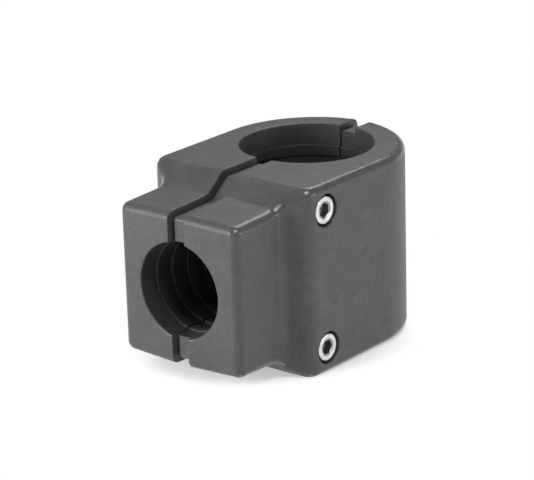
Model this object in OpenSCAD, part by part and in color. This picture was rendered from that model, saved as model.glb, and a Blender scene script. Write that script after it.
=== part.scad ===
// Tube joint: a two-part clamp that grips an upright tube and a smaller
// level tube at a right angle. A left and a right moulded half close on both
// tubes when two socket-head screws pull against captive hex nuts.
//
// Frame: the origin is the point where the two tube axes cross.
// +Z runs up the upright tube, -Y out along the level tube, and the halves
// part across X. All sizes are millimetres.

/* [Tubes] */
// Outer diameter of the upright tube
upright_d = 40; // [36:0.5:44]
// Outer diameter of the level tube
level_d = 28; // [22:0.5:30]
// Depth of the socket for the level tube
socket_depth = 36; // [30:1:37]

/* [Block round the upright tube] */
// Width of the block, which is also twice the radius of its round back
block_w = 60; // [58:1:68]
// Height of the block's top above the level tube's axis, at the split
block_top = 29.9; // [28.5:0.1:34]
// Depth of the block's flat base below the level tube's axis
block_base = 29.5; // [28.5:0.1:34]
// Distance from the upright axis to the shoulder where the block ends
shoulder_y = 36.5; // [36:0.5:38]

/* [Nose round the level tube] */
// Width of the nose
nose_w = 45; // [40:1:48]
// Distance from the upright axis to the nose's front face, at the split
nose_reach = 62; // [60:0.5:66]
// Height of the nose above the level axis at its front face
nose_top = 23.7; // [22:0.1:24.5]
// Depth of the nose below the level axis at its front face
nose_base = 23.8; // [22:0.1:24.5]
// How much the nose's top and bottom each rise towards the block
nose_rise = 0.6; // [0:0.1:1]
// Distance from the upright axis to the foot of the ramps on top and below
ramp_y = 43.5; // [42:0.5:45]
// Distance from the upright axis to the foot of the ramps at the sides
side_ramp_y = 41; // [40:0.5:42]

/* [Moulding] */
// Radius on the outer edges
edge_r = 2.5; // [1.5:0.25:2.5]
// Radius of the upright corners in plan
corner_r = 2.75; // [2.75:0.25:5]
// Radius in the hollow at the foot of the ramp
foot_r = 4; // [2:0.5:5]
// Radius of the block's front corners in plan
shoulder_r = 6; // [4:0.5:7]
// Mould draft of the nose, as fall over run away from the split
draft = 0.03; // [0:0.005:0.045]
// Mould draft of the block's top
top_draft = 0.015; // [0:0.005:0.03]
// Half the width of the shadow groove along the split
groove_x = 3; // [2:0.25:4]
// Depth of the shadow groove
groove_depth = 2; // [1:0.25:2.5]
// Gap left between the halves when both tubes are clamped
clamp_gap = 0.8; // [0.4:0.1:1.5]

/* [Grip rings inside the bores] */
// Width of one grip ring
ring_w = 3.5; // [2:0.5:4]
// Depth of the relief between rings
relief = 0.7; // [0.3:0.1:1.2]
// Distance from a mouth to the first ring
mouth_relief = 7; // [4:0.5:9]
// Number of rings in the upright bore
upright_rings = 7; // [3:1:8]
// Number of rings in the level socket
level_rings = 4; // [2:1:4]

/* [Screws and nuts] */
// Nominal thread diameter
screw_d = 5; // [4:1:5]
// Length of the screw under its head
screw_len = 50; // [48:1:52]
// Diameter of the screw head
head_d = 8.5; // [7:0.1:9]
// Height of the screw head
head_h = 5; // [4:0.1:5]
// Distance across flats of the hex socket
key_af = 4; // [3:0.5:4]
// Depth of the hex socket
key_depth = 2.5; // [2:0.1:3]
// Diameter of the counterbore that takes the head
head_bore_d = 10; // [9:0.1:11]
// How far the head sits below the side of the block
head_sink = 0.5; // [0:0.1:2]
// Distance across flats of the hex nut
nut_af = 8; // [7:0.1:8]
// Height of the hex nut
nut_h = 4.7; // [3.2:0.1:4.7]
// Distance of the screws in front of the upright axis
screw_y = 29.2; // [28:0.1:30]
// Distance of each screw above or below the level axis
screw_z = 21.4; // [20.8:0.1:22]

/* [Hidden] */

round_steps = 6;                        // steps of each small rounding
back_steps = 16;                        // steps of the round back of one half
bore_fn = 96;
overlap = 1;                            // how far cutters run past a surface

half_w = block_w / 2;
nose_half_w = nose_w / 2;
upright_r = upright_d / 2;
level_r = level_d / 2;
shank_r = screw_d / 2;
screw_hole_r = shank_r + 0.25;
nut_bore_r = shank_r + 0.05;
nut_pocket_af = nut_af + 0.2;
seat_x = half_w - head_sink - head_h;   // underside of the screw heads
tip_x = seat_x - screw_len;             // end of the screws
nut_x = tip_x + 0.6;                    // outer face of the nuts, short of the tips
tongue_x = -groove_x + clamp_gap;       // end of the right half's tongue

moulding_colour = [0.20, 0.20, 0.21];
steel_colour = [0.78, 0.79, 0.80];

// ---- outlines with rounded corners ----------------------------------------
// Every outline point is [u, v, nu, nv]: its place and its outward normal.
// Outlines run anticlockwise, so the outward side is on the right of travel.

function unit(v) = v / norm(v);
function right_of(v) = [v[1], -v[0]];
function turned(v, a) = [v[0] * cos(a) - v[1] * sin(a), v[0] * sin(a) + v[1] * cos(a)];
function bend(u, v) = atan2(u[0] * v[1] - u[1] * v[0], u * v);

// Corner b between a and c, rounded with radius r. Left turns are convex.
function rounded(a, b, c, r) =
    let (u = unit(b - a),
         bend_angle = bend(u, unit(c - b)),
         side = sign(bend_angle),
         centre = b - u * r * tan(abs(bend_angle) / 2) - side * r * right_of(u))
    [for (i = [0:round_steps])
        let (n = turned(right_of(u), bend_angle * i / round_steps))
        concat(centre + side * r * n, n)];

// The point moved inwards by d along its normal
function inset(p, d) = [p[0] - d * p[2], p[1] - d * p[3]];

// ---- the outer form --------------------------------------------------------

// Height above, or depth below, the level axis along Y: nose, ramp and block
function side_line(front, block) =
    let (a = [-nose_reach, front],
         b = [-ramp_y, front + nose_rise],
         c = [-shoulder_y, block],
         d = [half_w, block])
    concat([a],
           [for (p = rounded(a, b, c, foot_r)) [p[0], p[1]]],
           [for (p = rounded(b, c, d, foot_r)) [p[0], p[1]]],
           [d]);

top_line = side_line(nose_top, block_top);
base_line = side_line(nose_base, block_base);

function top_z(x, y) =
    lookup(y, top_line) - x * lookup(y, [[-ramp_y, draft], [-shoulder_y, top_draft]]);

// The base is drafted on the nose only: the block stands on a flat face.
function base_z(x, y) =
    -lookup(y, base_line) + x * lookup(y, [[-ramp_y, draft], [-shoulder_y, 0]]);

// Plan outline of one half, from the split at the front round to the back
function plan_outline(split_x) =
    let (front = [split_x, -nose_reach + draft * split_x],
         nose_corner = [nose_half_w, -nose_reach + draft * nose_half_w],
         foot = [nose_half_w, -side_ramp_y],
         shoulder = [half_w, -shoulder_y],
         side_end = [half_w, 0],
         last_angle = acos(split_x / half_w))
    concat([concat(front, [0, -1])],
           rounded(front, nose_corner, foot, corner_r),
           rounded(nose_corner, foot, shoulder, foot_r),
           rounded(foot, shoulder, side_end, shoulder_r),
           [for (i = [0:back_steps - 1])
               let (a = last_angle * i / back_steps)
               [half_w * cos(a), half_w * sin(a), cos(a), sin(a)]],
           [[split_x, half_w * sin(last_angle), 0, 1]]);

// One half's outer form as a loft: each point of the plan outline carries an
// upright section with a rounded edge at the top and at the base.
module half_form(split_x) {
    outline = plan_outline(split_x);
    last = len(outline) - 1;
    ring = 2 * round_steps + 4;

    function section(p) =
        let (inner = inset(p, edge_r))
        concat([[split_x, inner[1], top_z(split_x, inner[1])]],
               [for (i = [round_steps:-1:0])
                   let (a = 90 * i / round_steps, q = inset(p, edge_r * (1 - cos(a))))
                   [q[0], q[1], top_z(q[0], q[1]) - edge_r * (1 - sin(a))]],
               [for (i = [0:round_steps])
                   let (a = 90 * i / round_steps, q = inset(p, edge_r * (1 - cos(a))))
                   [q[0], q[1], base_z(q[0], q[1]) + edge_r * (1 - sin(a))]],
               [[split_x, inner[1], base_z(split_x, inner[1])]]);

    // At both ends of the outline the section closes on the split itself.
    function at(s, k) =
        s * ring + ((s == 0 || s == last) ? min(max(k, 1), ring - 2) : k);

    skin = [for (s = [0:last - 1], k = [0:ring - 2])
        each [[at(s, k), at(s + 1, k), at(s + 1, k + 1)],
              [at(s, k), at(s + 1, k + 1), at(s, k + 1)]]];
    split_face = concat([for (k = [ring - 2:-1:1]) at(0, k)],
                        [for (s = [1:last - 1]) at(s, 0)],
                        [for (k = [1:ring - 2]) at(last, k)],
                        [for (s = [last - 1:-1:1]) at(s, ring - 1)]);
    polyhedron(
        points = [for (p = outline) each section(p)],
        faces = concat([for (f = skin) if (f[0] != f[1] && f[1] != f[2] && f[0] != f[2]) f],
                       [split_face]));
}

// Lengthwise section of the whole joint at the split, set in by the groove
function tongue_outline() =
    let (corners = [[-nose_reach, -nose_base, corner_r],
                    [-ramp_y, -nose_base - nose_rise, foot_r],
                    [-shoulder_y, -block_base, foot_r],
                    [half_w, -block_base, edge_r],
                    [half_w, block_top, edge_r],
                    [-shoulder_y, block_top, foot_r],
                    [-ramp_y, nose_top + nose_rise, foot_r],
                    [-nose_reach, nose_top, corner_r]],
         n = len(corners),
         place = function(i) [corners[(i + n) % n][0], corners[(i + n) % n][1]])
    [for (i = [0:n - 1])
        each [for (p = rounded(place(i - 1), place(i), place(i + 1), corners[i][2]))
            inset(p, groove_depth)]];

module tongue() {
    translate([tongue_x, 0, 0])
        rotate([90, 0, 90])
            linear_extrude(groove_x + overlap - tongue_x)
                polygon(tongue_outline());
}

// ---- what is cut out -------------------------------------------------------

// A bore that grips on rings: the rings stand at the tube's radius, and the
// wall between them is relieved.
module ringed_bore(r, first, span, rings, start, end) {
    pitch = (span - ring_w) / (rings - 1);
    translate([0, 0, start]) cylinder(r = r, h = end - start, $fn = bore_fn);
    translate([0, 0, start]) cylinder(r = r + relief, h = first - start, $fn = bore_fn);
    for (i = [0:rings - 2])
        translate([0, 0, first + i * pitch + ring_w])
            cylinder(r = r + relief, h = pitch - ring_w, $fn = bore_fn);
    translate([0, 0, first + span])
        cylinder(r = r + relief, h = end - first - span, $fn = bore_fn);
}

module tube_bores() {
    ringed_bore(upright_r, mouth_relief - block_base,
                block_base + block_top - 2 * mouth_relief, upright_rings,
                -block_base - overlap, block_top + overlap);
    translate([0, -nose_reach, 0])
        rotate([-90, 0, 0])
            ringed_bore(level_r, mouth_relief, level_rings * ring_w * 2 - ring_w,
                        level_rings, -overlap, socket_depth);
}

module at_screws() {
    for (z = [-screw_z, screw_z])
        translate([0, -screw_y, z])
            rotate([0, 90, 0])
                children();
}

module screw_holes() {
    at_screws()
        translate([0, 0, nut_x])
            cylinder(r = screw_hole_r, h = half_w - nut_x, $fn = bore_fn);
}

module hex(af, h) {
    rotate(30) cylinder(d = af / cos(30), h = h, $fn = 6);
}

// ---- the pieces ------------------------------------------------------------

module left_half() {
    color(moulding_colour)
        difference() {
            mirror([1, 0, 0]) half_form(groove_x);
            tube_bores();
            screw_holes();
            at_screws()
                translate([0, 0, -half_w - overlap])
                    hex(nut_pocket_af, nut_x + nut_h + half_w + overlap);
        }
}

module right_half() {
    color(moulding_colour)
        difference() {
            union() {
                half_form(groove_x);
                tongue();
            }
            tube_bores();
            screw_holes();
            at_screws()
                translate([0, 0, seat_x])
                    cylinder(d = head_bore_d, h = half_w - seat_x + overlap, $fn = bore_fn);
        }
}

// Socket-head screw: turned profile about its axis, head outwards along +X
module screw(z) {
    head_r = head_d / 2;
    rim = 0.4;
    tip = 0.6;
    color(steel_colour)
        translate([seat_x, -screw_y, z])
            rotate([0, 90, 0])
                difference() {
                    rotate_extrude($fn = bore_fn)
                        polygon([[0, -screw_len], [shank_r - tip, -screw_len],
                                 [shank_r, tip - screw_len], [shank_r, 0], [head_r, 0],
                                 [head_r, head_h - rim], [head_r - rim, head_h],
                                 [0, head_h]]);
                    translate([0, 0, head_h - key_depth]) hex(key_af, key_depth + overlap);
                }
}

module upper_screw() { screw(screw_z); }

module lower_screw() { screw(-screw_z); }

// Hex nut with both faces chamfered, its axis along X
module nut(z) {
    corner = nut_af / cos(30) / 2;
    bevel = corner - nut_af / 2;
    color(steel_colour)
        translate([nut_x, -screw_y, z])
            rotate([0, 90, 0])
                difference() {
                    intersection() {
                        hex(nut_af, nut_h);
                        rotate_extrude($fn = bore_fn)
                            polygon([[0, 0], [nut_af / 2, 0], [corner, bevel / 2],
                                     [corner, nut_h - bevel / 2], [nut_af / 2, nut_h],
                                     [0, nut_h]]);
                    }
                    translate([0, 0, -overlap])
                        cylinder(r = nut_bore_r, h = nut_h + 2 * overlap, $fn = bore_fn);
                }
}

module upper_nut() { nut(screw_z); }

module lower_nut() { nut(-screw_z); }

left_half();
right_half();
upper_screw();
lower_screw();
upper_nut();
lower_nut();
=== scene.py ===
# %% [markdown]
# # A lean tube joint
#
# Two black moulded halves close on a 40 mm upright tube and on a 28 mm level
# tube, pulled together by two socket-head screws that run into captive nuts.
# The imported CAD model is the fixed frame: its pieces say where things are, and
# this lesson dresses them with fine roundings, threads and real finishes.

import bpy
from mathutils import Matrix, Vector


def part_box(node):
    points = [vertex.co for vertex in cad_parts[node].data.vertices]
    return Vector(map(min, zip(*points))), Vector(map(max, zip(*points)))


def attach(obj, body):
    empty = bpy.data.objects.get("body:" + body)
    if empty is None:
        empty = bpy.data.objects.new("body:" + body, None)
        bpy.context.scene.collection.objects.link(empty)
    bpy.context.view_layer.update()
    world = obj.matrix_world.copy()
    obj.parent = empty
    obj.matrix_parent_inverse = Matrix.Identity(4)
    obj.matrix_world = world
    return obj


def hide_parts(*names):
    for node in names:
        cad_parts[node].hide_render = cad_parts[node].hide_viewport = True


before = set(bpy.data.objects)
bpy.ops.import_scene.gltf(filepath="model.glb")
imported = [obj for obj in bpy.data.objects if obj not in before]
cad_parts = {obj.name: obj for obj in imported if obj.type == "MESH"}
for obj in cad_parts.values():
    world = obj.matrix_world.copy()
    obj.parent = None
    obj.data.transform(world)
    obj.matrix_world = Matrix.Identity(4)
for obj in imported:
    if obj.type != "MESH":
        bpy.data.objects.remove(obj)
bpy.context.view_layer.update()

# %% [markdown]
# The other modules come next. numpy works out whole surfaces at once, and
# bmesh closes and bevels them.

# %% Modules and the unit
import math

import bmesh
import bpy
import mathutils
import numpy as np

MM = 0.001
print("Blender", bpy.app.version_string, "- sizes below are millimetres")

# %% [markdown]
# ## Sizes
#
# What the CAD nodes' boxes give is read from them, so that the dressed pieces
# can't drift from the model. The rest are the moulding's own heights, roundings
# and drafts.

# %% Sizes from the CAD boxes
def box_mm(node):
    """Lowest and highest corner of a CAD node, in millimetres."""
    low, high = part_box(node)
    return np.array(low) / MM, np.array(high) / MM


half_low, half_high = box_mm("right_half")
BLOCK_HALF, BLOCK_BASE, TONGUE_X = half_high[0], -half_low[2], half_low[0]
screw_low, screw_high = box_mm("upper_screw")
SCREW_Y = (screw_low[1] + screw_high[1]) / 2
SCREW_Z = (screw_low[2] + screw_high[2]) / 2
nut_low, nut_high = box_mm("upper_nut")
print(f"block {2 * BLOCK_HALF:.1f} wide, base {BLOCK_BASE:.2f} below the level axis")
print(f"screws at y {SCREW_Y:.2f} and z +-{SCREW_Z:.2f}")
print(f"nuts from x {nut_low[0]:.1f} to {nut_high[0]:.1f}")

# %% Sizes of the moulding
UPRIGHT_R, LEVEL_R, SOCKET_DEPTH = 20.0, 14.0, 36.0
BLOCK_TOP, NOSE_REACH = 29.9, 62.0
NOSE_HALF, NOSE_TOP, NOSE_BASE, NOSE_RISE = 22.5, 23.7, 23.8, 0.6
RAMP_Y, SIDE_RAMP_Y, SHOULDER_Y = 43.5, 41.0, 36.5
EDGE_R, CORNER_R, FOOT_R, SHOULDER_R = 2.5, 2.75, 4.0, 6.0
DRAFT, TOP_DRAFT = 0.03, 0.015  # fall over run: the nose, the block's top
GROOVE_X, GROOVE_DEPTH = 3.0, 2.0
print(f"block {BLOCK_TOP + BLOCK_BASE:.1f} high, nose reaching {NOSE_REACH:.0f}")

# %% [markdown]
# ## Mesh helpers
#
# A surface here is a grid of points, one row for each step of one parameter.
# Neighbouring rows and columns make its quads, worked out as whole arrays.

# %% Grid of quads
def grid_quads(rows, cols, closed):
    """Quads between neighbouring points of a rows x cols grid, numbered row by
    row: (i, j), (i, j+1), (i+1, j+1), (i+1, j). A closed grid joins its last
    column to its first."""
    i = np.arange(rows - 1)[:, None] * cols
    j = np.arange(cols if closed else cols - 1)
    k = (j + 1) % cols
    return np.stack([i + j, i + k, i + cols + k, i + cols + j], axis=-1).reshape(-1, 4)


print("a 3 x 4 grid has", len(grid_quads(3, 4, False)), "quads")


# %% Mesh object from shells
def new_piece(name, shells):
    """One mesh object from a list of (points in mm, faces) shells."""
    points, faces, start = [], [], 0
    for shell_points, shell_faces in shells:
        points.append(np.asarray(shell_points) * MM)
        faces += [tuple(int(v) + start for v in face) for face in shell_faces]
        start += len(shell_points)
    mesh = bpy.data.meshes.new(name)
    mesh.from_pydata(np.vstack(points).tolist(), [], faces)
    piece = bpy.data.objects.new(name, mesh)
    bpy.context.scene.collection.objects.link(piece)
    return piece


def turn_outwards(piece, change=None):
    """Open the piece's mesh for bmesh, let change() edit it where there is one,
    and write it back with its faces pointing outwards."""
    bm = bmesh.new()
    bm.from_mesh(piece.data)
    if change is not None:
        change(bm)
    bmesh.ops.recalc_face_normals(bm, faces=bm.faces)
    if bm.calc_volume(signed=True) < 0:
        bmesh.ops.reverse_faces(bm, faces=bm.faces)
    bm.to_mesh(piece.data)
    bm.free()


def closed_piece(name, shells):
    """A mesh object from closed shells, with its faces pointing outwards."""
    piece = new_piece(name, shells)
    turn_outwards(piece)
    return piece


# %% Turned shell
def turned_shell(profile, axis, centre, angles, radius_of=None, slide=None):
    """A closed turned surface. Row i has radius r_i at height h_i; point j of
    the row sits at centre + r cos(t_j) a + r sin(t_j) b + h axis, where a and b
    are square to the axis. radius_of(i, t, r, h) may change the radius, and
    slide(i, spread) may add to the height of a point that lies spread off the
    axis."""
    profile = np.asarray(profile, float)
    t = np.linspace(0, 2 * math.pi, angles, endpoint=False)
    a, b = {"x": ((0, 1, 0), (0, 0, 1)), "y": ((0, 0, 1), (1, 0, 0)),
            "z": ((1, 0, 0), (0, 1, 0))}[axis]
    along = np.cross(a, b)
    rows = np.arange(len(profile))[:, None]
    radius = np.repeat(profile[:, :1], angles, axis=1)
    if radius_of is not None:
        radius = radius_of(rows, t[None, :], radius, profile[:, 1:2])
    round_axis = np.cos(t)[:, None] * a + np.sin(t)[:, None] * b
    spread = radius[..., None] * round_axis
    height = np.repeat(profile[:, 1:2], angles, axis=1)
    if slide is not None:
        height = height + slide(rows, spread)
    points = np.asarray(centre, float) + spread + height[..., None] * along
    quads = grid_quads(len(profile), angles, True)
    ends = [range(angles), range((len(profile) - 1) * angles, len(profile) * angles)]
    return points.reshape(-1, 3), list(quads) + [tuple(e) for e in ends]


# %% Cut and join
def applied(piece):
    """Replace the piece's mesh by what its modifiers make of it."""
    bpy.context.view_layer.update()
    seen = piece.evaluated_get(bpy.context.evaluated_depsgraph_get())
    mesh = bpy.data.meshes.new_from_object(seen)
    piece.modifiers.clear()
    old, piece.data = piece.data, mesh
    bpy.data.meshes.remove(old)


def combine(piece, tool, operation):
    """Join the tool to the piece or cut it away, and remove the tool."""
    step = piece.modifiers.new("step", "BOOLEAN")
    step.operation, step.object, step.solver = operation, tool, "MANIFOLD"
    applied(piece)
    bpy.data.objects.remove(tool)


FLAT_WEIGHT = 80


def smooth_faces(piece, crease):
    """Smooth shading that stops at edges sharper than crease degrees, with
    large faces weighing most, so that flat faces stay flat."""
    piece.data.shade_smooth()
    piece.data.set_sharp_from_angle(angle=math.radians(crease))
    even = piece.modifiers.new("even", "WEIGHTED_NORMAL")
    even.keep_sharp, even.weight = True, FLAT_WEIGHT
    applied(piece)


# %% [markdown]
# ## Outline of the moulding
#
# Seen from above, one half runs from the front of the nose round its corner,
# out along a ramp to the wider block, and round the back. Each outline point
# carries its outward normal, so that the edge rounding can be set in from it.

# %% Rounded corner
def rounded(a, b, c, r, steps=14):
    """Corner b between a and c, rounded: rows of place and outward normal. The
    centre lies back from b by r tan(bend / 2) along the first leg and r to the
    side; the normal turns evenly through the bend."""
    a, b, c = (np.asarray(p, float) for p in (a, b, c))
    u, v = (b - a) / np.linalg.norm(b - a), (c - b) / np.linalg.norm(c - b)
    turn = math.atan2(u[0] * v[1] - u[1] * v[0], u @ v)
    side = math.copysign(1, turn)
    right = np.array([u[1], -u[0]])
    centre = b - u * r * math.tan(abs(turn) / 2) - side * r * right
    t = np.linspace(0, turn, steps + 1)[:, None]
    normal = np.hstack([right[0] * np.cos(t) - right[1] * np.sin(t),
                        right[0] * np.sin(t) + right[1] * np.cos(t)])
    return np.hstack([centre + side * r * normal, normal])


def straight(a, b, step=1.5):
    """Rows between outline points a and b, which share a normal, without them."""
    n = max(int(np.linalg.norm(b[:2] - a[:2]) / step), 1)
    return a + (b - a) * (np.arange(1, n) / n)[:, None]


# %% Plan outline
BACK_STEPS = 60


def plan_outline():
    """Right side of the plan outline, front middle to back middle."""
    front = (0.0, -NOSE_REACH)
    nose_corner = (NOSE_HALF, -NOSE_REACH + DRAFT * NOSE_HALF)
    foot, shoulder = (NOSE_HALF, -SIDE_RAMP_Y), (BLOCK_HALF, -SHOULDER_Y)
    rows = [np.array([[*front, 0.0, -1.0]])]
    for a, b, c, r in ((front, nose_corner, foot, CORNER_R),
                       (nose_corner, foot, shoulder, FOOT_R),
                       (foot, shoulder, (BLOCK_HALF, 0.0), SHOULDER_R)):
        corner = rounded(a, b, c, r)
        if len(rows) > 1:
            rows.append(straight(rows[-1][-1], corner[0]))
        rows.append(corner)
    t = np.linspace(0, math.pi / 2, BACK_STEPS + 1)[:, None]
    way = np.hstack([np.cos(t), np.sin(t)])
    back = np.hstack([BLOCK_HALF * way, way])
    rows.append(straight(rows[-1][-1], back[0]))
    return np.vstack(rows + [back])


outline = plan_outline()
print(len(outline), "points round one side")

# %% [markdown]
# Along its length the joint steps up from the nose to the block by a ramp with
# a rounded foot and a rounded shoulder, at the top and at the base. Mould draft
# lets the top fall a little away from the split.

# %% Heights along the joint
def side_line(front, block):
    """Height along y at the split: nose, ramp and block, corners rounded."""
    a, b = (-NOSE_REACH, front), (-RAMP_Y, front + NOSE_RISE)
    c, d = (-SHOULDER_Y, block), (BLOCK_HALF, block)
    return np.vstack([[a], rounded(a, b, c, FOOT_R)[:, :2],
                      rounded(b, c, d, FOOT_R)[:, :2], [d]])


top_line, base_line = side_line(NOSE_TOP, BLOCK_TOP), side_line(NOSE_BASE, BLOCK_BASE)
print("the top line has", len(top_line), "points")


def height_at(line, x, y, block_draft):
    """Height of the line at y, less |x| times the draft, which changes from
    the nose's to the block's along the ramp."""
    fall = np.interp(y, [-RAMP_Y, -SHOULDER_Y], [DRAFT, block_draft])
    return np.interp(y, line[:, 0], line[:, 1]) - np.abs(x) * fall


# %% [markdown]
# ## Outer form
#
# The outer form is a loft: every outline point carries an upright section with
# a quarter round at the top and one at the base, and the sections close on the
# middle plane. The half is then cut off flat beside the split, and that rim
# gets the small radius that a mould edge has.

# %% Loft of one half
def half_shell(steps=12):
    """Points P(s, a): outline point s moved in by R (1 - cos a) along its
    normal, at height top - R (1 - sin a), for a from 90 degrees to 0, then
    mirrored at the base. R is the edge radius."""
    a = np.linspace(math.pi / 2, 0, steps + 1)
    shift, drop = EDGE_R * (1 - np.cos(a)), EDGE_R * (1 - np.sin(a))
    place = outline[:, None, :2] - shift[None, :, None] * outline[:, None, 2:]
    x, y = place[..., 0], place[..., 1]
    middle = y[:, :1]
    points = np.hstack([
        np.dstack([0 * middle, middle, height_at(top_line, 0, middle, TOP_DRAFT)]),
        np.dstack([x, y, height_at(top_line, x, y, TOP_DRAFT) - drop]),
        np.dstack([x, y, drop - height_at(base_line, x, y, 0.0)])[:, ::-1],
        np.dstack([0 * middle, middle, -height_at(base_line, 0, middle, 0.0)])])
    rows, cols = points.shape[:2]
    return points.reshape(-1, 3), grid_quads(rows, cols, False)


# %% Cut the loft beside the split
LIP_R = 0.3
TOUCHING = 1e-7  # metres


def cut_at_split(bm):
    """Keep what lies beyond the groove, close the cut and round its rim."""
    bmesh.ops.remove_doubles(bm, verts=bm.verts, dist=TOUCHING)
    cut = bmesh.ops.bisect_plane(
        bm, geom=[*bm.verts, *bm.edges, *bm.faces], dist=TOUCHING, clear_outer=True,
        plane_co=(GROOVE_X * MM, 0, 0), plane_no=(-1, 0, 0))
    rim = [e for e in cut["geom_cut"] if isinstance(e, bmesh.types.BMEdge)]
    bmesh.ops.edgeloop_fill(bm, edges=rim)
    bmesh.ops.recalc_face_normals(bm, faces=bm.faces)
    bmesh.ops.bevel(bm, geom=rim, offset=LIP_R * MM, offset_type="OFFSET",
                    segments=3, profile=0.5, affect="EDGES", clamp_overlap=False)


def half_blank(name, side):
    """One half's outer form, on the side +1 or -1 of the split."""
    piece = new_piece(name, [half_shell()])
    turn_outwards(piece, cut_at_split)
    if side < 0:
        piece.data.transform(mathutils.Matrix.Scale(-1, 4, (1, 0, 0)))
        piece.data.flip_normals()
    return piece


right_half = half_blank("right_half_moulding", 1)
left_half = half_blank("left_half_moulding", -1)
print("outer form:", len(right_half.data.polygons), "faces a half")

# %% [markdown]
# ## Tongue
#
# The right half carries a tongue that reaches across the split into the left
# half. It follows the joint's lengthwise outline, set in by the depth of the
# shadow groove, and its crest has a small radius.

# %% Tongue
CREST_R, TONGUE_ROOT = 0.4, 1.0  # radius of its crest, reach into its own half


def tongue_shell():
    """The lengthwise outline, moved in along its normals by the groove depth,
    carried along x; the first rows close in by a quarter round."""
    corners = [(-NOSE_REACH, -NOSE_BASE), (-RAMP_Y, -NOSE_BASE - NOSE_RISE),
               (-SHOULDER_Y, -BLOCK_BASE), (BLOCK_HALF, -BLOCK_BASE),
               (BLOCK_HALF, BLOCK_TOP), (-SHOULDER_Y, BLOCK_TOP),
               (-RAMP_Y, NOSE_TOP + NOSE_RISE), (-NOSE_REACH, NOSE_TOP)]
    radii = [CORNER_R, FOOT_R, FOOT_R, EDGE_R, EDGE_R, FOOT_R, FOOT_R, CORNER_R]
    before, after = corners[-1:] + corners[:-1], corners[1:] + corners[:1]
    line = np.vstack([rounded(a, b, c, r, steps=8)
                      for a, b, c, r in zip(before, corners, after, radii)])
    t = np.linspace(0, math.pi / 2, 5)
    inward = np.concatenate([CREST_R * (1 - np.sin(t)), [0.0]]) + GROOVE_DEPTH
    x = np.concatenate([TONGUE_X + CREST_R * (1 - np.cos(t)), [GROOVE_X + TONGUE_ROOT]])
    flat = line[None, :, :2] - inward[:, None, None] * line[None, :, 2:]
    points = np.dstack([np.repeat(x[:, None], len(line), axis=1), flat]).reshape(-1, 3)
    rows, cols = len(x), len(line)
    return points, list(grid_quads(rows, cols, True)) + [
        tuple(range(cols)), tuple(range((rows - 1) * cols, rows * cols))]


combine(right_half, closed_piece("tongue", [tongue_shell()]), "UNION")
print("right half with its tongue:", len(right_half.data.polygons), "faces")

# %% [markdown]
# ## Bores
#
# Both bores grip on rings: the rings stand at the tube's radius and the wall
# between them is relieved, so that the clamp bites on a few narrow bands. The
# cutters are turned shells, and their flared ends give each mouth its radius.

# %% Ringed bore profile
RELIEF, MOUTH_RELIEF = 0.7, 7.0
RING_W, RING_EDGE_R = 3.5, 0.3


def ring_profile(r, mouth, rings, pitch, end):
    """(radius, height) rows from the mouth inwards: relief, then rings at
    radius r whose edges turn by cos t and sin t, then relief to the end."""
    t = np.linspace(0, math.pi / 2, 4)[1:]
    u = t - t[0]
    rows = []
    for k in range(rings):
        start = mouth + k * pitch
        stop = start + RING_W
        rows += [
            [[r + RELIEF, start]],
            np.stack([r + RING_EDGE_R * (1 - np.sin(t)),
                      start + RING_EDGE_R * (1 - np.cos(t))], 1),
            np.stack([r + RING_EDGE_R * (1 - np.cos(u)),
                      stop - RING_EDGE_R + RING_EDGE_R * np.sin(u)], 1),
            [[r + RELIEF, stop]]]
    return np.vstack(rows + [[[r + RELIEF, end]]])


# %% Flared mouth
FLARE_ROWS, FLARE_TURN, FLARE_PAST = 7, 78, 3.0


def flare(r, mouth, way, radius=0.5):
    """Rows of a mouth's round: most of a quarter circle from the wall towards
    the face, then straight on past it. way is +1 where the outside is up the
    axis, and -1 where it is down."""
    t = np.linspace(0, math.radians(FLARE_TURN), FLARE_ROWS - 1)
    rows = np.stack([r + radius * (1 - np.cos(t)),
                     mouth - way * radius * (1 - np.sin(t))], 1)
    last = rows[-1] + FLARE_PAST * np.array([math.sin(t[-1]), way * math.cos(t[-1])])
    return np.vstack([rows, last])


print("a mouth's flare has", len(flare(UPRIGHT_R, BLOCK_TOP, 1)), "rows")

# %% Cut the upright bore
CENTRE = (0, 0, 0)
UPRIGHT_RINGS, UPRIGHT_COLUMNS = 7, 192
ringed = BLOCK_BASE + BLOCK_TOP - 2 * MOUTH_RELIEF - RING_W
upright_pitch = ringed / (UPRIGHT_RINGS - 1)
upright_rows = np.vstack([
    flare(UPRIGHT_R + RELIEF, -BLOCK_BASE, -1)[::-1],
    ring_profile(UPRIGHT_R, MOUTH_RELIEF - BLOCK_BASE, UPRIGHT_RINGS,
                 upright_pitch, BLOCK_TOP)[:-1],
    flare(UPRIGHT_R + RELIEF, BLOCK_TOP, 1)])


def fall_with_top(rows, spread):
    """The cutter's top rows fall with the drafted top face."""
    drafted = rows >= len(upright_rows) - FLARE_ROWS
    return np.where(drafted, -TOP_DRAFT * np.abs(spread[..., 0]), 0.0)


for half in (left_half, right_half):
    cutter = closed_piece("upright_bore", [turned_shell(
        upright_rows, "z", CENTRE, UPRIGHT_COLUMNS, slide=fall_with_top)])
    combine(half, cutter, "DIFFERENCE")
print(f"upright bore: {UPRIGHT_RINGS} rings, {upright_pitch:.2f} mm apart")

# %% Cut the level bore
LEVEL_RINGS, LEVEL_PITCH, LEVEL_COLUMNS = 4, 7.0, 160
level_rows = np.vstack([
    flare(LEVEL_R + RELIEF, -NOSE_REACH, -1)[::-1],
    ring_profile(LEVEL_R, MOUTH_RELIEF - NOSE_REACH, LEVEL_RINGS,
                 LEVEL_PITCH, SOCKET_DEPTH - NOSE_REACH)])


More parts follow.
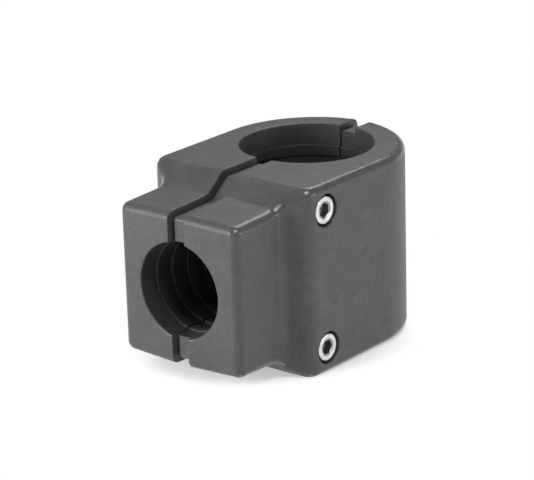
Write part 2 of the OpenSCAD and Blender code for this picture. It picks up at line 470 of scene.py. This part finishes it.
def lean_with_front(rows, spread):
    """The cutter's first rows lean back with the drafted front face."""
    return np.where(rows < FLARE_ROWS, DRAFT * np.abs(spread[..., 0]), 0.0)


for half in (left_half, right_half):
    cutter = closed_piece("level_bore", [turned_shell(
        level_rows, "y", CENTRE, LEVEL_COLUMNS, slide=lean_with_front)])
    combine(half, cutter, "DIFFERENCE")
print(f"level socket: {LEVEL_RINGS} rings, {SOCKET_DEPTH:.0f} mm deep")

# %% [markdown]
# ## Screw holes
#
# Each screw crosses both halves. On the right a counterbore takes the head; on
# the left a hexagonal pocket keeps the nut from turning.

# %% Cutters for the screw holes
HEAD_BORE_R, SCREW_HOLE_R, NUT_POCKET_AF, SEAT_RIM_R = 5.0, 2.75, 8.2, 0.3
HEAD_HEIGHT, COLUMNS = 5.0, 96
SEAT_X = screw_high[0] - HEAD_HEIGHT
print(f"heads rest at x {SEAT_X:.1f}")


def hexagon_radius(t, across_flats):
    """Distance from a hexagon's centre to its side in direction t, with a
    corner at t = 0: half the width over the cosine of the angle off the flat."""
    return across_flats / 2 / np.cos(t % (math.pi / 3) - math.pi / 6)


def hole_cutter(z):
    """Clearance hole right through, widened by the counterbore at the head."""
    rows = np.vstack([[[SCREW_HOLE_R, nut_low[0]], [SCREW_HOLE_R, SEAT_X],
                       [HEAD_BORE_R, SEAT_X]],
                      flare(HEAD_BORE_R, BLOCK_HALF, 1, SEAT_RIM_R)])
    return closed_piece("screw_hole", [
        turned_shell(rows, "x", (0, SCREW_Y, z), COLUMNS)])


def pocket_cutter(z):
    """Hexagonal pocket for the nut, open to the left side."""
    inner = NUT_POCKET_AF / 2
    rows = np.vstack([flare(inner, -BLOCK_HALF, -1, SEAT_RIM_R)[::-1],
                      [[inner, nut_high[0]]]])

    def radius_of(i, t, r, h):
        return r - inner + hexagon_radius(t, NUT_POCKET_AF)
    return closed_piece("nut_pocket", [
        turned_shell(rows, "x", (0, SCREW_Y, z), COLUMNS, radius_of)])


# %% Cut the screw holes
for z in (SCREW_Z, -SCREW_Z):
    for half in (left_half, right_half):
        combine(half, hole_cutter(z), "DIFFERENCE")
    combine(left_half, pocket_cutter(z), "DIFFERENCE")
print("left half", len(left_half.data.polygons), "faces, right half",
      len(right_half.data.polygons), "faces")

# %% [markdown]
# Handling polishes a moulding's roundings, and the tips of its corners get a
# painted highlight. Both places follow from the mesh: roundings have small
# faces, and a tip is where the surface faces along the diagonal. Two attributes keep
# them.

# %% Shade the halves
MOULDING_CREASE = 32
TIP_FACING, TIP_FADE = 0.975, 0.02


def mark_wear_and_highlight(piece, small=3.0):
    """Two point attributes. "polish" is 1 at points whose faces are all smaller
    than small square millimetres, as on the roundings, and 0 on the flats.
    "corner" rises from 0 to 1 as the normal nears the diagonal that points
    outwards, forwards and away from the level axis, on the corners' tips. It
    sets where a painted highlight goes."""
    mesh = piece.data
    area = np.empty(len(mesh.polygons))
    mesh.polygons.foreach_get("area", area)
    size = np.empty(len(mesh.polygons), dtype=np.int32)
    mesh.polygons.foreach_get("loop_total", size)
    point = np.empty(len(mesh.loops), dtype=np.int32)
    mesh.loops.foreach_get("vertex_index", point)
    largest = np.zeros(len(mesh.vertices))
    np.maximum.at(largest, point, np.repeat(area, size) / MM ** 2)
    place, normal = np.empty((2, 3 * len(mesh.vertices)), dtype=np.float32)
    mesh.vertices.foreach_get("co", place)
    mesh.vertex_normals.foreach_get("vector", normal)
    outwards = np.sign(place.reshape(-1, 3)) * [1, 0, 1] - [0, 1, 0]
    facing = (normal.reshape(-1, 3) * outwards).sum(axis=1) / math.sqrt(3)
    polish = largest < small
    corner = polish * np.clip((facing - TIP_FACING) / TIP_FADE, 0, 1)
    for name, values in (("polish", polish), ("corner", corner)):
        attribute = mesh.attributes.new(name, "FLOAT", "POINT")
        attribute.data.foreach_set("value", values.astype(np.float32))
    print(f"{piece.name}: {polish.mean():.0%} polished, {(corner > 0).mean():.1%} highlighted")


for half in (left_half, right_half):
    smooth_faces(half, MOULDING_CREASE)
    mark_wear_and_highlight(half)

# %% [markdown]
# ## Screws
#
# A socket-head screw is turned, knurled round its head and rolled on its
# shank. Head and shank are two shells: the head needs many columns for its
# knurl, and the shank needs many rows for its thread.

# %% Thread
PITCH, THREAD_DEPTH = 0.8, 0.44
FLANK, CREST_FLAT = 1.18, 0.08


def thread_depth(x, t):
    """How deep the thread is cut at place x and angle t: the flank rises and
    falls once a pitch, and x goes one pitch along in one turn. The clip leaves
    a flat crest and a flat root."""
    phase = (x / PITCH - t / (2 * math.pi)) % 1.0
    return THREAD_DEPTH * np.clip(FLANK * np.abs(2 * phase - 1) - CREST_FLAT, 0, 1)


print("thread: pitch", PITCH, "mm, depth", THREAD_DEPTH, "mm")

# %% Screw head
SHANK_R, HEAD_R, KEY_AF, SOCKET_R = 2.5, 4.25, 4.0, 2.75
HEAD_COLUMNS, KNURLS, KNURL_DEPTH = 360, 60, 0.09
RIM_R, SEAT_BEVEL, KNURL_START = 0.45, 0.15, 0.6
KEY_DEPTH, CONE_DEPTH, CONE_TIP_R, SOCKET_CHAMFER = 2.5, 3.0, 0.05, 0.35


def head_shell(z, turn):
    """Head: knurled side, rounded rim, flat face, chamfered hexagon socket with
    a drilled cone at its foot. The hexagon is turned by turn, in radians."""
    face, key = screw_high[0], KEY_AF / 2
    rim = np.linspace(0, math.pi / 2, 6)
    rows = np.vstack([
        [[SHANK_R, SEAT_X], [HEAD_R - SEAT_BEVEL, SEAT_X],
         [HEAD_R, SEAT_X + SEAT_BEVEL], [HEAD_R, SEAT_X + KNURL_START],
         [HEAD_R, face - 2 * RIM_R]],
        np.stack([HEAD_R - RIM_R * (1 - np.cos(rim)),
                  face - RIM_R * (1 - np.sin(rim))], 1),
        [[SOCKET_R, face], [key, face - SOCKET_CHAMFER], [key, face - KEY_DEPTH],
         [CONE_TIP_R, face - CONE_DEPTH]]])
    knurled, hexed = np.zeros((2, len(rows)))
    knurled[3:5] = 1.0  # the straight side
    hexed[-4:-1] = 0.2, 1.0, 1.0  # the socket's rim, faintly, then its walls

    def radius_of(i, t, r, h):
        knurl = KNURL_DEPTH * knurled[i] * (1 + np.cos(KNURLS * t))
        corner = hexed[i] * (hexagon_radius(t + turn, KEY_AF) - key)
        return r - knurl + corner
    return turned_shell(rows, "x", (0, SCREW_Y, z), HEAD_COLUMNS, radius_of)


print(f"head {2 * HEAD_R:.1f} across and {HEAD_HEIGHT:.1f} high, key {KEY_AF:.0f}")

# %% Shank and whole screw
THREAD_LENGTH, TIP_BEVEL, STEPS_PER_PITCH, STEEL_CREASE = 22.0, 0.6, 10, 35


def shank_shell(z):
    """Shank: plain under the head, then the thread, which runs out over one
    pitch at its start and is bevelled at the tip."""
    tip = screw_low[0]
    start, bevel = tip + THREAD_LENGTH, tip + TIP_BEVEL
    inside_head, under_head, before_thread = SEAT_X + 0.5, SEAT_X - 0.2, start + 0.4
    x = np.concatenate([[inside_head, under_head, before_thread],
                        np.arange(start, bevel, -PITCH / STEPS_PER_PITCH),
                        [bevel, tip + TIP_BEVEL / 2, tip]])
    r = np.where(x < bevel, SHANK_R - (bevel - x), SHANK_R)

    def radius_of(i, t, radius, h):
        run_out = np.clip((start - h) / PITCH, 0, 1)
        return np.minimum(radius, SHANK_R - thread_depth(h, t) * run_out)
    return turned_shell(np.stack([r, x], 1), "x", (0, SCREW_Y, z), COLUMNS, radius_of)


def screw(name, z, turn):
    """One screw on the axis at height z, its socket left at an angle of turn."""
    piece = closed_piece(name, [head_shell(z, turn), shank_shell(z)])
    smooth_faces(piece, STEEL_CREASE)
    print(name, len(piece.data.polygons), "faces")
    return piece


upper_screw = screw("upper_screw_bright", SCREW_Z, turn=math.radians(28))
lower_screw = screw("lower_screw_bright", -SCREW_Z, turn=math.radians(4))

# %% [markdown]
# ## Nuts
#
# A hexagon nut is the common part of a hexagonal bar and a double cone, which
# is why its corners end in curved bevels. Its bore carries the same thread as
# the screw, a little wider and shallower, so that the two mesh at every turn.

# %% Nut
NUT_AF, NUT_BEVEL, NUT_CONE, NUT_CREASE = 8.0, 0.6, 60, 28
BORE_ROWS, BORE_CLEARANCE, THREAD_SHARE = 48, 0.12, 0.8


def nut_shell(z):
    """Outside radius is the smaller of the hexagon's and the cone's; inside it
    is the bore's less the thread, on one closed loop of rows."""
    low, high = nut_low[0], nut_high[0]
    slope = math.tan(math.radians(NUT_CONE))
    bevel = np.linspace(0, NUT_BEVEL, 7)
    out_x = np.concatenate([low + bevel, high - bevel[::-1]])
    out_r = NUT_AF / 2 + slope * np.minimum(out_x - low, high - out_x)
    in_x = np.linspace(high, low, BORE_ROWS)
    in_r = np.full(BORE_ROWS, SHANK_R + BORE_CLEARANCE)
    rows = np.vstack([np.stack([out_r, out_x], 1), np.stack([in_r, in_x], 1)])
    outside = np.arange(len(rows)) < len(out_x)

    def radius_of(i, t, r, h):
        bar = np.minimum(r, hexagon_radius(t, NUT_AF))
        bore = r - THREAD_SHARE * thread_depth(h, t)
        return np.where(outside[i], bar, bore)
    points, faces = turned_shell(rows, "x", (0, SCREW_Y, z), COLUMNS, radius_of)
    last = (len(rows) - 1) * COLUMNS
    ring = np.arange(COLUMNS)
    following = (ring + 1) % COLUMNS
    closing = np.stack([last + ring, last + following, following, ring], axis=1)
    return points, list(faces[:-2]) + list(closing)


def nut(name, z):
    """One nut on the axis at height z."""
    piece = closed_piece(name, [nut_shell(z)])
    smooth_faces(piece, NUT_CREASE)
    print(name, len(piece.data.polygons), "faces")
    return piece


upper_nut = nut("upper_nut_bright", SCREW_Z)
lower_nut = nut("lower_nut_bright", -SCREW_Z)

# %% [markdown]
# ## Shader maths
#
# A finish is a network of nodes. One small class wraps a number that varies
# over the surface, so that the recipe reads as plain arithmetic.

# %% Numbers that vary over a surface
class Varying:
    """A node's number output. Arithmetic on it adds Math nodes."""

    def __init__(self, finish, socket):
        self.finish, self.socket = finish, socket

    def _math(self, operation, *terms):
        return self.finish.node("ShaderNodeMath", {"operation": operation},
                                dict(enumerate(terms)))["Value"]

    def __add__(self, other): return self._math("ADD", self, other)
    def __radd__(self, other): return self._math("ADD", other, self)
    def __sub__(self, other): return self._math("SUBTRACT", self, other)
    def __rsub__(self, other): return self._math("SUBTRACT", other, self)
    def __mul__(self, other): return self._math("MULTIPLY", self, other)
    def __rmul__(self, other): return self._math("MULTIPLY", other, self)
    def __pow__(self, other): return self._math("POWER", self, other)
    def __abs__(self): return self._math("ABSOLUTE", self)

    def band(self, low, high):
        """0 below low, 1 above high, and a smooth step between."""
        return self.finish.node(
            "ShaderNodeMapRange", {"interpolation_type": "SMOOTHSTEP"},
            {"Value": self, "From Min": low, "From Max": high})["Result"]


# %% A finish under construction
class Outputs:
    """A node's outputs by name; a number output comes wrapped."""

    def __init__(self, finish, made):
        self.finish, self.made = finish, made

    def __getitem__(self, name):
        socket = next(s for s in self.made.outputs if s.name == name and s.enabled)
        return Varying(self.finish, socket) if socket.type == "VALUE" else socket


class Finish:
    """A material, a world or a stage finish and its nodes."""

    def __init__(self, owner):
        owner.use_nodes = True
        self.owner, self.tree = owner, owner.node_tree
        self.tree.nodes.clear()

    def node(self, kind, settings=None, sockets=None):
        """Add a node: its settings first, then values or links to its sockets."""
        made = self.tree.nodes.new(kind)
        for name, value in (settings or {}).items():
            setattr(made, name, value)
        for name, value in (sockets or {}).items():
            socket = (made.inputs[name] if isinstance(name, int) else
                      next(s for s in made.inputs if s.name == name and s.enabled))
            if isinstance(value, Varying):
                value = value.socket
            if isinstance(value, bpy.types.NodeSocket):
                self.tree.links.new(value, socket)
            else:
                socket.default_value = value
        return Outputs(self, made)

    def place(self):
        """Object coordinates, in metres."""
        return self.node("ShaderNodeTexCoord")["Object"]

    def axes(self, vector):
        """The three parts of a vector, as numbers."""
        parts = self.node("ShaderNodeSeparateXYZ", {}, {"Vector": vector})
        return parts["X"], parts["Y"], parts["Z"]

    def attribute(self, name):
        """A number that the mesh keeps at its points."""
        return self.node("ShaderNodeAttribute", {"attribute_name": name})["Fac"]

    def noise(self, place, size, detail=2.0, roughness=0.5):
        """Noise between about 0 and 1 whose blobs are size millimetres wide."""
        return self.node("ShaderNodeTexNoise", {"noise_dimensions": "3D"}, {
            "Vector": place, "Scale": 1 / (size * MM), "Detail": detail,
            "Roughness": roughness})["Fac"]

    def stretched(self, place, scale):
        """The coordinates, stretched along each axis by scale."""
        return self.node("ShaderNodeVectorMath", {"operation": "MULTIPLY"},
                         {0: place, 1: scale})["Vector"]

    def blend(self, factor, a, b):
        """Colour a where factor is 0 and b where it is 1."""
        return self.node("ShaderNodeMix", {"data_type": "RGBA"},
                         {"Factor": factor, "A": a, "B": b})["Result"]

    def bump(self, height, depth):
        """Normal bumped by a height, where a rise of 1 is depth millimetres."""
        return self.node("ShaderNodeBump", {}, {
            "Height": height, "Strength": 1.0, "Distance": depth * MM})["Normal"]


def within(distance, full, gone):
    """1 where a distance in metres is under full millimetres, 0 over gone, and
    a smooth step between."""
    return 1 - distance.band(full * MM, gone * MM)


# %% [markdown]
# ## Black moulding
#
# Glass-filled polyamide from an eroded mould is a dark, slightly cool grey
# with a fine even grain over a shallow ripple. It flows a little unevenly, so
# its tone and gloss drift. Handling leaves faint pale rubs and polishes the
# roundings. The corners' tips get a painted highlight, and the walls of the
# bores stay dull and get painted shade. The masks below say where, and the
# finish then blends the tones.

# %% Ejector-pin witness
PIN_Y, PIN_Z, PIN_LEAN, PIN_STRENGTH = -25.9, -8.2, 0.3, 0.6


def pin_mark(x, y, z):
    """A short leaning line where the ejector pin's rim shows, on the right side
    alone. It fades out past its half length and its half width."""
    off_y = y - PIN_Y * MM
    along, across = abs(off_y), abs(z - PIN_LEAN * off_y - PIN_Z * MM)
    right_side = x.band((BLOCK_HALF - 2) * MM, (BLOCK_HALF - 1) * MM)
    return (PIN_STRENGTH * right_side * within(along, 0.5, 1.2)
            * within(across, 0.1, 0.35))


# %% Walls of the bores
WALL_FULL, WALL_GONE = 0.75, 0.95  # past the tube's radius, just over the relief


# This mask makes the bores dull and darkens them with painted shade.
def bore_walls(x, y, z):
    """1 within either bore's relief radius, and 0 elsewhere. The level bore
    counts only to just past its end wall."""
    end = SOCKET_DEPTH - NOSE_REACH
    upright = within((x * x + y * y) ** 0.5, UPRIGHT_R + WALL_FULL, UPRIGHT_R + WALL_GONE)
    level = within((x * x + z * z) ** 0.5, LEVEL_R + WALL_FULL, LEVEL_R + WALL_GONE)
    level = level * within(y, end + 1, end + 2)
    return upright + level * (1 - upright)


# %% Moulding finish
NYLON_DARK, NYLON_LIGHT = (0.064, 0.065, 0.069, 1.0), (0.124, 0.125, 0.131, 1.0)
# The tip tone below is a painted highlight on the corners' tips.
RUB_TONE, TIP_HIGHLIGHT_TONE = (0.17, 0.172, 0.18, 1.0), (0.45, 0.45, 0.46, 1.0)
# The wall tone below is painted shade inside the bores.
BORE_SHADE_TONE, PIN_TONE = (0.022, 0.019, 0.018, 1.0), (0.03, 0.03, 0.032, 1.0)


def moulding_finish():
    """Tone from grain, patches and flow, then rubs, a painted highlight on the
    tips, painted shade on the bore walls and the pin's mark. Gloss drifts with
    the flow, is highest on the polished roundings and lowest in the bores."""
    finish = Finish(bpy.data.materials.new("black_glass_filled_nylon"))
    place = finish.place()
    x, y, z = finish.axes(place)
    grain = finish.noise(place, 0.45, 3.0, 0.6)
    flow = finish.noise(place, 14.0, 3.0, 0.55)
    patch = finish.noise(place, 3.2, 4.0, 0.6)
    ripple = finish.noise(place, 1.4, 2.0, 0.5)
    streaks = finish.noise(finish.stretched(place, (1.0, 0.16, 1.0)), 0.9, 2.0)
    rubs, wall = streaks.band(0.66, 0.8), bore_walls(x, y, z)
    tip, polish = finish.attribute("corner"), finish.attribute("polish")
    tone = 0.25 * flow + 0.25 * patch + 0.5 * grain
    colour = finish.blend(tone.band(0.28, 0.72), NYLON_DARK, NYLON_LIGHT)
    # Blends in the rubs, the painted highlight on the tips, the painted shade in the
    # bores and the pin's mark.
    for share, shade in ((0.2 * rubs, RUB_TONE), (0.55 * tip, TIP_HIGHLIGHT_TONE),
                         (0.5 * wall, BORE_SHADE_TONE), (pin_mark(x, y, z), PIN_TONE)):
        colour = finish.blend(share, colour, shade)
    roughness = 0.44 + 0.1 * (flow - 0.5) - 0.05 * rubs + 0.2 * wall - 0.26 * polish
    shader = finish.node("ShaderNodeBsdfPrincipled", {}, {
        "Base Color": colour, "Roughness": roughness, "IOR": 1.42,
        "Normal": finish.bump(0.5 * grain + ripple, 0.09)})
    finish.node("ShaderNodeOutputMaterial", {}, {"Surface": shader["BSDF"]})
    return finish.owner


nylon = moulding_finish()
print("made", nylon.name)

# %% [markdown]
# ## Zinc-plated steel
#
# Bright zinc is a cool silver with a soft sheen. Turning leaves fine rings
# round the screw's axis, and the plating clouds a little. The hexagon socket
# is painted a darker grey for the shade inside it.

# %% Steel finish
ZINC_DARK, ZINC_LIGHT = (0.58, 0.59, 0.61, 1.0), (0.8, 0.8, 0.8, 1.0)
SOCKET_SHADE_TONE, RINGS_PER_METRE = (0.28, 0.28, 0.29, 1.0), 9000.0


def steel_finish():
    """Cloudy zinc with rings of noise over the distance from the screw's axis,
    and a darker tone, painted shade, inside the hexagon socket."""
    finish = Finish(bpy.data.materials.new("bright_zinc_steel"))
    place = finish.place()
    x, y, z = finish.axes(place)
    across, upward = y - SCREW_Y * MM, abs(z) - SCREW_Z * MM
    radius = (across * across + upward * upward) ** 0.5
    rings = finish.node("ShaderNodeTexNoise", {"noise_dimensions": "1D"}, {
        "W": radius, "Scale": RINGS_PER_METRE, "Detail": 2.0})["Fac"]
    cloud = finish.noise(place, 1.6, 3.0)
    colour = finish.blend(cloud.band(0.3, 0.7), ZINC_DARK, ZINC_LIGHT)
    head = x.band((SEAT_X + 1.0) * MM, (SEAT_X + 1.4) * MM)
    # The darker socket is painted shade.
    socket = head * within(radius, SOCKET_R - 0.06, SOCKET_R)
    colour = finish.blend(socket, colour, SOCKET_SHADE_TONE)
    shader = finish.node("ShaderNodeBsdfPrincipled", {}, {
        "Base Color": colour, "Metallic": 1.0,
        "Roughness": 0.26 + 0.14 * cloud + 0.05 * rings,
        "Normal": finish.bump(rings, 0.004)})
    finish.node("ShaderNodeOutputMaterial", {}, {"Surface": shader["BSDF"]})
    return finish.owner


zinc = steel_finish()
print("made", zinc.name)

# %% [markdown]
# ## Ride, replace and finish
#
# Every piece rides on the body of the CAD node it stands for, and takes the
# finish made above for it.

# %% Hand the pieces to their bodies
for piece, node, body, slot, finish in (
        (left_half, "left_half", "left_jaw", "moulding", nylon),
        (right_half, "right_half", "right_jaw", "moulding", nylon),
        (upper_screw, "upper_screw", "upper_screw_body", "zinc_steel", zinc),
        (lower_screw, "lower_screw", "lower_screw_body", "zinc_steel", zinc),
        (upper_nut, "upper_nut", "left_jaw", "zinc_steel", zinc),
        (lower_nut, "lower_nut", "left_jaw", "zinc_steel", zinc)):
    piece.data.materials.clear()
    piece.data.materials.append(finish)
    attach(piece, body)
    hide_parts(node)
    print(piece.name, "rides on", body)

# %% [markdown]
# ## Floor
#
# The joint stands on a wide white sheet. Near the joint the sheet is a plain
# matt white that takes its shadow; farther out it melts into the white
# surround. Seen from below it is clear, so the underside can be looked at.

# %% Floor finish
SHEET_TONE, SHEET_GLOW = (0.9, 0.9, 0.9, 1.0), 0.42
NEAR_X, NEAR_STRETCH = 6.0, 1.35  # how far left the near part lies, how narrow
NEAR_FULL, NEAR_GONE = 52.0, 62.0


def floor_finish():
    """Matt white with a glow of its own inside an oval round the joint, plain
    white outside it, and clear from below."""
    finish = Finish(bpy.data.materials.new("white_sheet"))
    path = finish.node("ShaderNodeLightPath")
    seen = path["Is Camera Ray"] + path["Is Glossy Ray"] + path["Is Transmission Ray"]
    x, y, _ = finish.axes(finish.place())
    across = NEAR_STRETCH * (x + NEAR_X * MM)
    away = (across * across + y * y) ** 0.5
    far = seen * away.band(NEAR_FULL * MM, NEAR_GONE * MM)
    matt = finish.node("ShaderNodeBsdfDiffuse", {}, {"Color": SHEET_TONE})
    glow = finish.node("ShaderNodeEmission", {}, {"Strength": SHEET_GLOW * seen})
    near = finish.node("ShaderNodeAddShader", {}, {0: matt["BSDF"], 1: glow["Emission"]})
    white = finish.node("ShaderNodeEmission", {}, {"Strength": 1.0})
    sheet = finish.node("ShaderNodeMixShader", {}, {
        0: far, 1: near["Shader"], 2: white["Emission"]})
    below = finish.node("ShaderNodeNewGeometry")["Backfacing"]
    clear = finish.node("ShaderNodeBsdfTransparent")
    both = finish.node("ShaderNodeMixShader", {}, {
        0: below, 1: sheet["Shader"], 2: clear["BSDF"]})
    finish.node("ShaderNodeOutputMaterial", {}, {"Surface": both["Shader"]})
    return finish.owner


# %% Floor
FLOOR_HALF, CLEARANCE = 6000.0, 0.05  # a hair below the base, so they don't meet
floor_z = -BLOCK_BASE - CLEARANCE
corners = [(x * FLOOR_HALF, y * FLOOR_HALF, floor_z)
           for x, y in ((-1, -1), (1, -1), (1, 1), (-1, 1))]
floor = new_piece("floor", [(corners, [(0, 1, 2, 3)])])
floor.data.materials.append(floor_finish())
print(f"floor at z {floor_z:.2f}")

# %% [markdown]
# ## Light
#
# Four soft boxes light the joint: a low one at the front left for the front
# face, a weaker low one at the right for the long side, a small near one high
# at the front right for the tops, and a wide one behind that draws the bright
# line along the top edges.

# %% Place by axes
def stand(name, data, side, up, back, at):
    """Add a lamp or camera at a place in metres. It looks along -back."""
    pose = np.eye(4)
    pose[:3] = np.stack([side, up, back, at], axis=1)
    holder = bpy.data.objects.new(name, data)
    holder.matrix_world = mathutils.Matrix(pose.tolist())
    bpy.context.scene.collection.objects.link(holder)
    print(name, "at", [round(float(v), 3) for v in at])
    return holder


# %% Soft boxes
def soft_box(name, around, above, size, watts, distance=0.8, height=None):
    """A lamp, size by height metres, that faces the joint from around degrees
    round the upright axis, counted from +X, and above degrees over the level."""
    around, above = math.radians(around), math.radians(above)
    towards = np.array([math.cos(around) * math.cos(above),
                        math.sin(around) * math.cos(above), math.sin(above)])
    side = np.array([-math.sin(around), math.cos(around), 0.0])
    lamp = bpy.data.lights.new(name, "AREA")
    lamp.shape, lamp.size, lamp.size_y = "RECTANGLE", size, height or size
    lamp.energy = watts
    stand(name, lamp, side, np.cross(towards, side), towards, distance * towards)


soft_box("front_left_box", around=238, above=12, size=0.4, watts=5.1)
soft_box("right_box", around=16, above=8, size=0.5, height=0.2, watts=1.85)
soft_box("top_box", around=321, above=53, size=0.1, watts=0.32, distance=0.36)
soft_box("back_box", around=112, above=53, size=0.5, height=0.4, watts=2.8)

# %% [markdown]
# The surround is plain white where it is seen. Metal and gloss mirror a white
# wall that darkens overhead, so that the tops don't wash out, and only a weak
# part of it lights the joint.

# %% Surround
AMBIENT, OVERHEAD_LOSS = 0.12, 0.85


def surround():
    """A world whose strength is 1 for the camera, the wall's for mirrored rays
    besides the ambient part, and the ambient part alone for the rest."""
    finish = Finish(bpy.data.worlds.new("surround"))
    path = finish.node("ShaderNodeLightPath")
    rise = finish.axes(finish.node("ShaderNodeTexCoord")["Generated"])[2]
    wall = 1.0 - OVERHEAD_LOSS * rise.band(-0.02, 0.1)
    mirrored = path["Is Glossy Ray"] + path["Is Transmission Ray"]
    strength = AMBIENT + (1 - AMBIENT) * path["Is Camera Ray"] + mirrored * wall
    sky = finish.node("ShaderNodeBackground", {}, {
        "Color": (1, 1, 1, 1), "Strength": strength})
    finish.node("ShaderNodeOutputWorld", {}, {"Surface": sky["Background"]})
    return finish.owner


bpy.context.scene.world = surround()
print("surround:", bpy.context.scene.world.name)

# %% [markdown]
# ## Camera
#
# The camera looks down a little from the front right with a long lens. Three
# angles give its own axes. It stands back along the third, and a little off
# the joint's centre along the other two.

# %% Camera
AZIMUTH, ELEVATION, ROLL = np.radians([39.5455, 19.0783, -1.6841])
FOCAL_LENGTH, SENSOR_WIDTH = 167.76, 36.0
OFF_RIGHT, OFF_UP, STAND_BACK = -12.944, -1.786, 770.08
back = np.array([math.sin(AZIMUTH) * math.cos(ELEVATION),
                 -math.cos(AZIMUTH) * math.cos(ELEVATION), math.sin(ELEVATION)])
level = np.array([math.cos(AZIMUTH), math.sin(AZIMUTH), 0.0])
rise = np.cross(back, level)
right = level * math.cos(ROLL) + rise * math.sin(ROLL)
upright = rise * math.cos(ROLL) - level * math.sin(ROLL)
lens = bpy.data.cameras.new("camera")
lens.lens, lens.sensor_width = FOCAL_LENGTH, SENSOR_WIDTH
lens.clip_start, lens.clip_end = 0.05, 10.0
camera_place = (OFF_RIGHT * right + OFF_UP * upright + STAND_BACK * back) * MM
bpy.context.scene.camera = stand("camera", lens, right, upright, back, camera_place)

# %% [markdown]
# ## Finish
#
# The view transform shows colours as written.

# %% Finish
bpy.context.scene.view_settings.view_transform = "Standard"
